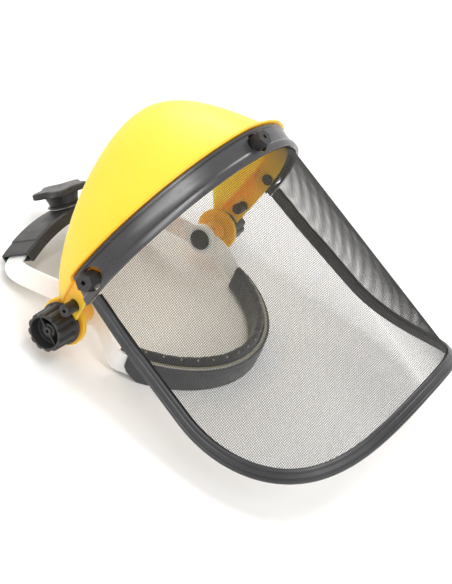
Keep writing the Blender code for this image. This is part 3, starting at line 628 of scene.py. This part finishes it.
def build_guard():
    """The dome, rim wall and flange in one sweep, with lobes, holes and an edge-depth value per point."""
    columns = 132
    rows = 30
    rings = []
    for i in range(columns + 1):
        share = 2 * i / columns - 1
        angle = share * LOBE_ANGLE
        flange = WALL_OUTER + (BAND_OUTER + 0.0012 - WALL_OUTER) * rim_extent(angle) + 0.0008
        rim = [
            (WALL_INNER, -0.0080),
            (WALL_OUTER, -0.0080),
            (WALL_OUTER, FLANGE_Z),
            (flange - 0.0004, FLANGE_Z),
            (flange, FLANGE_Z + 0.0003),
            (flange, FLANGE_Z + 0.0009),
            (flange - 0.0004, FLANGE_Z + 0.0012),
        ]
        ring = [raised_point(angle, z, offset) for offset, z in rim]
        ring += dome_curve(share, WALL_OUTER, rows)
        ring += reversed(dome_curve(share, WALL_INNER, rows))
        rings.append(ring)
    centre = (AXIS_Y, AXIS_Z)
    lobes = []
    holes = []
    for side in (-1, 1):
        disc = [(LOBE[0], LOBE_RADIUS - 0.0003), (LOBE[0] + 0.0003, LOBE_RADIUS)]
        disc += [(LOBE[1] - 0.0003, LOBE_RADIUS), (LOBE[1], LOBE_RADIUS - 0.0003)]
        lobes.append(loft_mesh("lobe", turned_x(disc, side, 96, centre)))
        stepped = [
            (0.060, 0.0115),
            (LOBE[0], 0.0115),
            (LOBE[0], BORE_RADIUS),
            (LOBE[1], BORE_RADIUS),
            (LOBE[1], 0.0147),
            (0.125, 0.0147),
        ]
        holes.append(loft_mesh("bore", turned_x(stepped, side, 48, centre)))
        pin = [(0.085, STOP_PIN_RADIUS + GAP), (0.12, STOP_PIN_RADIUS + GAP)]
        holes.append(loft_mesh("pin_hole", turned_x(pin, side, 48, STOP_PIN_YZ)))
    mesh = boolean(loft_mesh("guard", rings), lobes, "UNION")
    mesh = boolean(mesh, holes + band_cutters(PEG_NECK + GAP), "DIFFERENCE")
    edge_depth(mesh)
    add_object("guard_shell", mesh, "yellow", "guard", "guard_yellow", "brow_guard", place=GUARD_TO_WORLD)


def edge_depth(mesh):
    """Marks how deep the light goes through the moulding: most in the flange, less in lobes and rim wall."""
    points = np.empty(len(mesh.vertices) * 3)
    mesh.vertices.foreach_get("co", points)
    points = points.reshape(-1, 3)
    rim = np.clip(1.0 - np.abs(points[:, 2] - (FLANGE_Z + 0.0004)) / 0.0018, 0, 1)
    below = (points[:, 2] < FLANGE_Z) * 0.35
    away = np.hypot(points[:, 1] - AXIS_Y, points[:, 2] - AXIS_Z)
    lobe = np.clip((0.0245 - away) / 0.0085, 0, 1) * (np.abs(points[:, 0]) > 0.08) * 0.45
    depth = np.maximum(np.maximum(rim * 0.95, below), lobe)
    mark = mesh.attributes.new("edge_depth", "FLOAT", "POINT")
    mark.data.foreach_set("value", depth.astype(np.float32))


# The woven wire.


def wire_grid():
    """Points and normals at the crossings of the weave, and which of them lie inside the edging."""
    count = int(round(2 * HALF_ARC / WIRE_PITCH)) // 2 * 2
    loose = np.random.default_rng(WIRE_SEED)
    uneven = loose.normal(0.0, WIRE_SPREAD, count).clip(-WIRE_SPREAD_LIMIT, WIRE_SPREAD_LIMIT)
    shares = [2 * (i + 0.5 + uneven[i]) / count - 1 for i in range(count)]
    rows = int((WIRE_TOP_Z - CHIN_Z - WIRE_INSET) / WIRE_PITCH) + 1
    uneven = loose.normal(0.0, WIRE_SPREAD, rows).clip(-WIRE_SPREAD_LIMIT, WIRE_SPREAD_LIMIT)
    heights = [WIRE_TOP_Z - WIRE_PITCH * (j + uneven[j]) for j in range(rows)]
    points = np.zeros((count, rows, 3))
    normals = np.zeros((count, rows, 3))
    for i, share in enumerate(shares):
        for j, z in enumerate(heights):
            point, _, normal = surface_frame(visor_angle(share, z), z)
            points[i, j] = point
            normals[i, j] = normal
    limit = 1 - WIRE_INSET / HALF_ARC
    low = np.array([lower_edge(share, WIRE_INSET) if abs(share) < limit else 1.0 for share in shares])
    inside = np.array(heights)[None, :] > low[:, None]
    return points, normals, inside


def tubes(name, points, normals, inside, lift):
    """Three-sided wires along the second index, each joining the points that lie inside."""
    ahead = np.gradient(points, axis=1)
    across = np.cross(ahead, normals)
    across /= np.linalg.norm(across, axis=2, keepdims=True)
    ids = np.full(inside.shape, -1)
    ids[inside] = np.arange(inside.sum())
    rings = []
    for turn in (math.pi / 2, math.pi * 7 / 6, math.pi * 11 / 6):
        out = lift[..., None] + WIRE_RADIUS * math.sin(turn)
        rings.append(points + normals * out + across * (WIRE_RADIUS * math.cos(turn)))
    verts = np.stack(rings, axis=2)[inside].reshape(-1, 3)
    first = ids[:, :-1]
    second = ids[:, 1:]
    joined = (first >= 0) & (second >= 0)
    a = first[joined] * 3
    b = second[joined] * 3
    quads = [np.stack([a + k, a + (k + 1) % 3, b + (k + 1) % 3, b + k], axis=1) for k in range(3)]
    before = np.zeros(inside.shape, bool)
    before[:, 1:] = inside[:, :-1]
    after = np.zeros(inside.shape, bool)
    after[:, :-1] = inside[:, 1:]
    starts = ids[inside & ~before] * 3
    ends = ids[inside & ~after] * 3
    first_caps = np.stack([starts + 2, starts + 1, starts], axis=1)
    last_caps = np.stack([ends, ends + 1, ends + 2], axis=1)
    return mesh_from(name, verts, np.concatenate(quads), np.concatenate([first_caps, last_caps]))


def mesh_from(name, verts, quads, triangles):
    mesh = bpy.data.meshes.new(name)
    mesh.vertices.add(len(verts))
    mesh.vertices.foreach_set("co", verts.astype(np.float32).ravel())
    corners = np.concatenate([quads.ravel(), triangles.ravel()]).astype(np.int32)
    sizes = np.concatenate([np.full(len(quads), 4), np.full(len(triangles), 3)]).astype(np.int32)
    mesh.loops.add(len(corners))
    mesh.loops.foreach_set("vertex_index", corners)
    mesh.polygons.add(len(sizes))
    starts = np.concatenate([[0], np.cumsum(sizes)[:-1]]).astype(np.int32)
    mesh.polygons.foreach_set("loop_start", starts)
    mesh.update(calc_edges=True)
    mesh.validate()
    return mesh


def add_wires(name, grids):
    mesh = tubes(name, *grids)
    add_object(
        f"wire_{name}",
        mesh,
        "wire",
        "guard",
        "woven_wire",
        "mesh_screen",
        sharp=180.0,
        place=GUARD_TO_WORLD,
    )


def build_wires():
    """Both directions of the weave, each cut in two halves."""
    points, normals, inside = wire_grid()
    count, rows = inside.shape
    parity = (np.add.outer(np.arange(count), np.arange(rows)) % 2) * 2.0 - 1.0
    lift = parity * WIRE_RADIUS
    half = count // 2
    parts = {
        "right": (slice(0, half), slice(0, half + 1)),
        "left": (slice(half, count), slice(half, count)),
    }
    for word, (warps, wefts) in parts.items():
        up_and_down = [grid[warps] for grid in (points, normals, inside, lift)]
        across = [np.swapaxes(grid[wefts], 0, 1) for grid in (points, normals, inside, -lift)]
        add_wires(f"warp_{word}", up_and_down)
        add_wires(f"weft_{word}", across)


# The knobs.


def build_side_knob(word, side):
    """A fluted knob with a base disc and a hollow face; two thin webs hold its hub."""
    low, high = SIDE_KNOB
    flutes = 12
    count = 216

    def fluted(x, radius, depth):
        ring = []
        for i in range(count):
            turn = 2 * math.pi * i / count
            dip = (0.5 - 0.5 * math.cos(flutes * turn)) ** 2.2
            r = radius - depth * dip
            ring.append(Vector((side * x, r * math.cos(turn), r * math.sin(turn))))
        return ring

    rings = [
        fluted(low, BORE_RADIUS, 0.0),
        fluted(low, 0.0131, 0.0),
        fluted(low + 0.0003, 0.0135, 0.0),
        fluted(low + 0.0013, 0.0136, 0.0),
        fluted(low + 0.0017, 0.0133, 0.0),
        fluted(low + 0.0020, 0.0128, 0.0010),
        fluted(low + 0.0024, 0.0126, 0.0014),
        fluted(high - 0.0014, 0.0122, 0.0015),
        fluted(high - 0.0005, 0.0120, 0.0014),
        fluted(high, 0.0114, 0.0009),
        fluted(high, 0.0100, 0.0),
        fluted(high - 0.0003, 0.0097, 0.0),
        fluted(high - 0.0066, 0.0093, 0.0),
        fluted(high - 0.0070, 0.0089, 0.0),
        fluted(high - 0.0070, 0.0050, 0.0),
        fluted(high - 0.0046, 0.0047, 0.0),
        fluted(high - 0.0042, 0.0043, 0.0),
        fluted(high - 0.0040, 0.0030, 0.0),
        fluted(high - 0.0033, 0.0029, 0.0),
        fluted(high - 0.0030, 0.0026, 0.0),
        fluted(high - 0.0030, 0.0011, 0.0),
        fluted(high - 0.0048, 0.0011, 0.0),
        fluted(high - 0.0048, BORE_RADIUS, 0.0),
    ]
    webs = []
    turn = math.radians(35)
    for end in (-1, 1):
        across = Vector((0, math.cos(turn), math.sin(turn)))
        flat = across.cross(Vector((1, 0, 0))) * 0.0005
        box = []
        for reach in (0.0027, 0.0097):
            near = Vector((side * (high - 0.0074), 0, 0)) + across * end * reach
            far = Vector((side * (high - 0.0034), 0, 0)) + across * end * reach
            box.append([near - flat, near + flat, far + flat, far - flat])
        webs.append(loft_mesh("web", box))
    mesh = boolean(loft_mesh("knob", rings, wrap=True), webs, "UNION")
    body = f"clamp_{word}"
    node = f"side_knob_{word}"
    add_object(f"clamp_knob_{word}", mesh, "black", body, "moulded_black", node, place=PIVOT_TO_WORLD)


def build_star_knob():
    """Five lobes on a thick cap over a coned neck, with a thin foot ring."""
    count = 200

    def star(z, size, depth):
        ring = []
        for i in range(count):
            turn = 2 * math.pi * i / count
            wave = 0.5 + 0.5 * math.cos(5 * turn + math.pi)
            r = size - depth * wave**0.8
            ring.append(Vector((r * math.cos(turn), r * math.sin(turn), z)))
        return ring

    rings = [
        star(0.0056, 0.0038, 0.0),
        star(0.0056, 0.0112, 0.0),
        star(0.0059, 0.0115, 0.0),
        star(0.0064, 0.0115, 0.0),
        star(0.0067, 0.0111, 0.0),
        star(0.0068, 0.0096, 0.0),
        star(0.0100, 0.0105, 0.0004),
        star(0.0138, 0.0119, 0.0008),
        star(0.0140, 0.0124, 0.0012),
        star(0.0141, 0.0186, 0.0053),
        star(0.0144, 0.0192, 0.0055),
        star(0.0149, 0.0195, 0.0056),
        star(0.0172, 0.0195, 0.0056),
        star(0.0179, 0.0192, 0.0055),
        star(0.0183, 0.0184, 0.0053),
        star(0.0184, 0.0172, 0.0050),
        star(0.0182, 0.0100, 0.0026),
        star(0.0180, 0.0060, 0.0),
        star(0.0179, 0.0030, 0.0),
        star(0.0179, 0.0008, 0.0),
        star(0.0105, 0.0008, 0.0),
        star(0.0105, 0.0038, 0.0),
    ]
    mesh = loft_mesh("star", rings, wrap=True)
    add_object("star_knob", mesh, "black", "ratchet", "moulded_black", "ratchet_knob", place=REAR_TO_WORLD)


# The soft pieces of the headband.


def forehead_frame(angle):
    """A point on the forehead strip's outer face, at the pivots' height, and its outward direction."""
    x = FOREHEAD_HALF_WIDTH * math.sin(angle)
    y = FOREHEAD_Y - FOREHEAD_DEPTH * math.cos(angle)
    normal = Vector((FOREHEAD_DEPTH * math.sin(angle), -FOREHEAD_HALF_WIDTH * math.cos(angle), 0.0))
    return Vector((x, y, 0.0)) + PIVOT, normal.normalized()


def strip_mesh(name, last, section, count):
    """A strip round the forehead; section gives (offset, height over the table) points."""
    rings = []
    for i in range(count + 1):
        point, normal = forehead_frame(last * (2 * i / count - 1))
        point.z = 0.0
        rings.append([point + normal * offset + Vector((0, 0, z)) for offset, z in section])
    return loft_mesh(name, rings)


def swell(mesh, frames=20):
    """Remeshes the pad and blows it up a little with a cloth simulation; no point moves past PAD_SWELL."""
    pad = bpy.data.objects.new("swelling", mesh)
    bpy.context.scene.collection.objects.link(pad)
    bpy.context.view_layer.objects.active = pad
    remesh = pad.modifiers.new("remesh", "REMESH")
    remesh.mode = "VOXEL"
    remesh.voxel_size = PAD_VOXEL
    graph = bpy.context.evaluated_depsgraph_get()
    fine = bpy.data.meshes.new_from_object(pad.evaluated_get(graph))
    pad.modifiers.clear()
    pad.data = fine
    before = np.array([v.co for v in fine.vertices])
    cloth = pad.modifiers.new("cloth", "CLOTH")
    cloth.settings.use_pressure = True
    cloth.settings.uniform_pressure_force = PAD_PRESSURE
    cloth.settings.effector_weights.gravity = 0.0
    scene = bpy.context.scene
    scene.frame_start = 1
    scene.frame_end = frames
    for number in range(1, frames + 1):
        scene.frame_set(number)
    graph = bpy.context.evaluated_depsgraph_get()
    blown = bpy.data.meshes.new_from_object(pad.evaluated_get(graph))
    scene.frame_set(1)
    after = np.array([v.co for v in blown.vertices])
    move = after - before
    length = np.linalg.norm(move, axis=1, keepdims=True)
    before = before + move * np.minimum(1.0, PAD_SWELL / np.maximum(length, 1e-9))
    bpy.data.objects.remove(pad)
    fine.vertices.foreach_set("co", before.astype(np.float32).ravel())
    fine.update()
    return fine


def build_pad():
    """The foam pad: a crowned strip that is flat where it stands, gathered a little at each fixing pin."""
    inner = -BAND_THICKNESS - PAD_GAP
    deep = inner - PAD_DEPTH
    section = [
        (inner, PAD_LOW),
        (inner, PAD_HIGH - 0.0008),
        (inner - 0.0012, PAD_HIGH),
        (deep + 0.0016, PAD_HIGH),
        (deep, PAD_HIGH - 0.0016),
        (deep, PAD_LOW + 0.0012),
        (deep + 0.0012, PAD_LOW),
    ]
    mesh = swell(strip_mesh("pad", PAD_TURN, section, 60))
    points = np.array([v.co for v in mesh.vertices])
    top = points[:, 2].max()
    forward = (PIVOT.y + FOREHEAD_Y - points[:, 1]) / FOREHEAD_DEPTH
    turn = np.arctan2(points[:, 0] / FOREHEAD_HALF_WIDTH, forward)
    dimple = np.exp(-((np.abs(np.remainder(turn / PIN_TURN, 1.0) - 0.5) * 2 - 1) ** 2) / 0.06)
    upper = np.clip((points[:, 2] - (top - 0.004)) / 0.004, 0, 1)
    points[:, 2] = np.maximum(points[:, 2] - 0.0007 * dimple * upper, 0.0)
    mesh.vertices.foreach_set("co", points.astype(np.float32).ravel())
    mesh.update()
    pad = add_object("forehead_pad", mesh, "pad", "headgear", "pad_foam", "sweatband_pad", sharp=180.0)
    smooth = pad.modifiers.new("smooth", "SUBSURF")
    smooth.levels = 1
    smooth.render_levels = 1


def build_pins():
    """Small pale pins that hold the pad, along the top of the band; their olive colour is painted shade from
    under the guard.
    """
    shape = bmesh.new()
    for number in range(-PIN_COUNT_EACH_SIDE, PIN_COUNT_EACH_SIDE + 1):
        point, normal = forehead_frame(PIN_TURN * number)
        point = point + normal * (-BAND_THICKNESS - GAP - 0.0022)
        point.z = PIVOT.z - 0.0032
        place = Matrix.Translation(point)
        made = bmesh.ops.create_icosphere(shape, subdivisions=2, radius=PIN_RADIUS, matrix=place)
        for vertex in made["verts"]:
            vertex.co.z = point.z + (vertex.co.z - point.z) * PIN_STRETCH
    mesh = bpy.data.meshes.new("pins")
    shape.to_mesh(mesh)
    shape.free()
    add_object("pad_pins", mesh, "pin_shade", "headgear", "strap_white", sharp=180.0)


def build_cover():
    """The woven cloth outside the forehead strip, with a rolled top hem and rounded lower corners."""
    high = COVER_HIGH
    inner = GAP
    outer = GAP + COVER_THICKNESS
    section = [
        (inner, 0.0),
        (inner, high - 0.0004),
        (inner + 0.0004, high),
        (outer - 0.0004, high),
        (outer, high - 0.0005),
        (outer, high - 0.0016),
        (outer - 0.0002, high - 0.0021),
        (outer, high - 0.0026),
        (outer + 0.0002, 0.0095),
        (outer + 0.0002, 0.0060),
        (outer, 0.0035),
        (outer, 0.0015),
        (outer, 0.0004),
        (outer - 0.0004, 0.0),
    ]
    count = 140
    rings = []
    for i in range(count + 1):
        share = math.sin(math.pi * (i / count - 0.5))
        ring = []
        for offset, z in section:
            drawn_in = 0.13 * max(0.0, 1 - z / 0.011) ** 2 * abs(share) ** 10
            point, normal = forehead_frame(COVER_TURN * share * (1 - drawn_in))
            point.z = z
            ring.append(point + normal * offset)
        rings.append(ring)
    mesh = loft_mesh("cover", rings)
    slot = "cover_cloth"
    cover = add_object("forehead_cover", mesh, "cover", "headgear", slot, "sweatband_cover", sharp=50.0)


# CAD nodes that keep their shape.


def soften(node, look, width=0.00025):
    """Gives a CAD node its material and small rounded edges."""
    obj = NODES[node]
    obj.data.materials.clear()
    obj.data.materials.append(LOOKS[look])
    weld = obj.modifiers.new("weld", "WELD")
    weld.merge_threshold = 0.00001
    rounded = obj.modifiers.new("rounded", "BEVEL")
    rounded.width = width
    rounded.segments = 2
    rounded.limit_method = "ANGLE"
    rounded.angle_limit = math.radians(35)
    rounded.use_clamp_overlap = True
    rounded.harden_normals = False
    shading = obj.modifiers.new("shading", "WEIGHTED_NORMAL")
    shading.keep_sharp = True


def dress_cad():
    """The nodes that keep their CAD shape."""
    for node in ("peg_right", "peg_front", "peg_left", "stop_pin_right", "stop_pin_left"):
        soften(node, "black", 0.0003)
    for node in ("pivot_bolt_right", "pivot_bolt_left", "ratchet_housing", "ratchet_base", "pinion"):
        soften(node, "black", 0.0003)
    for node in ("spacer_right", "spacer_left"):
        soften(node, "amber")
    for node in ("friction_washer_right", "friction_washer_left", "knob_screw", "detent_washer"):
        soften(node, "steel", 0.0001)
    soften("headband", "headband", 0.0003)
    for node in ("strap_right", "strap_left", "rack_right", "rack_left"):
        soften(node, "white", 0.0003)


# The stage.

FLOOR_FRONT = -2.4
FLOOR_BACK = 1.2
FLOOR_CURVE = 0.8
FLOOR_TOP = 3.0
FLOOR_HALF_WIDTH = 3.5
WORLD_STRENGTH = 0.80
CAMERA_LENS = 75.71
CAMERA_RIGHT = Vector((0.50119309, -0.79253508, 0.34740989))
CAMERA_UP = Vector((0.34479591, 0.55112881, 0.75985053))
CAMERA_PLACE = Vector((-0.61837741, -0.20679717, 0.47327579))


def build_stage():
    """A pale floor that curves up behind the object."""
    rings = [(FLOOR_FRONT, 0.0), (FLOOR_BACK, 0.0)]
    for i in range(1, 13):
        turn = math.pi / 2 * i / 12
        along = FLOOR_BACK + FLOOR_CURVE * math.sin(turn)
        rings.append((along, FLOOR_CURVE - FLOOR_CURVE * math.cos(turn)))
    rings.append((FLOOR_BACK + FLOOR_CURVE, FLOOR_TOP))
    verts = []
    faces = []
    for y, z in rings:
        verts += [(-FLOOR_HALF_WIDTH, y, z), (FLOOR_HALF_WIDTH, y, z)]
    for i in range(len(rings) - 1):
        faces.append((2 * i, 2 * i + 1, 2 * i + 3, 2 * i + 2))
    mesh = bpy.data.meshes.new("floor")
    mesh.from_pydata(verts, [], faces)
    floor = bpy.data.objects.new("floor", mesh)
    bpy.context.scene.collection.objects.link(floor)
    made, tree, shader = new_material("floor_white")
    tone = noise(tree, 1.5, 2.0, 0.5)
    colour = ramp(tree, tone, (0.90, 0.895, 0.885), (0.93, 0.925, 0.92), 0.3, 0.7)
    tree.links.new(colour, shader.inputs["Base Color"])
    shader.inputs["Roughness"].default_value = 0.85
    mesh.materials.append(made)
    mesh.shade_smooth()


def area_light(name, place, target, size, power, colour=(1.0, 1.0, 1.0)):
    data = bpy.data.lights.new(name, "AREA")
    data.shape = "DISK"
    data.size = size
    data.energy = power
    data.color = colour
    light = bpy.data.objects.new(name, data)
    bpy.context.scene.collection.objects.link(light)
    light.location = place
    light.rotation_euler = (Vector(target) - Vector(place)).to_track_quat("-Z", "Y").to_euler()


def build_light():
    world = bpy.data.worlds.new("studio")
    bpy.context.scene.world = world
    world.use_nodes = True
    back = world.node_tree.nodes["Background"]
    back.inputs["Color"].default_value = (1.0, 0.995, 0.985, 1.0)
    back.inputs["Strength"].default_value = WORLD_STRENGTH
    area_light("key", (-0.9, -0.5, 1.5), (0, 0, 0.05), 0.9, 10.0)
    area_light("overhead", (-0.25, -0.28, 1.58), (-0.06, 0.02, 0.12), 0.5, 7.0)
    area_light("far_fill", (1.3, 0.9, 1.1), (0, 0, 0.05), 1.0, 13.0, (1.0, 0.97, 0.93))
    area_light("front_fill", (-0.2, -1.6, 0.7), (0, 0, 0.08), 0.8, 4.0)


def build_camera():
    data = bpy.data.cameras.new("camera")
    data.lens = CAMERA_LENS
    data.sensor_width = 36.0
    data.sensor_fit = "AUTO"
    data.clip_start = 0.05
    data.clip_end = 20.0
    camera = bpy.data.objects.new("camera", data)
    bpy.context.scene.collection.objects.link(camera)
    back = CAMERA_RIGHT.cross(CAMERA_UP)
    turn = Matrix((CAMERA_RIGHT, CAMERA_UP, back)).transposed().to_4x4()
    camera.matrix_world = Matrix.Translation(CAMERA_PLACE) @ turn
    bpy.context.scene.camera = camera


def main():
    build_guard()
    build_band()
    build_trim()
    build_wires()
    for word, side in (("right", -1), ("left", 1)):
        build_side_knob(word, side)
    build_star_knob()
    build_pad()
    build_pins()
    build_cover()
    dress_cad()
    build_stage()
    build_light()
    build_camera()
    bpy.context.scene.view_settings.view_transform = "Standard"


main()
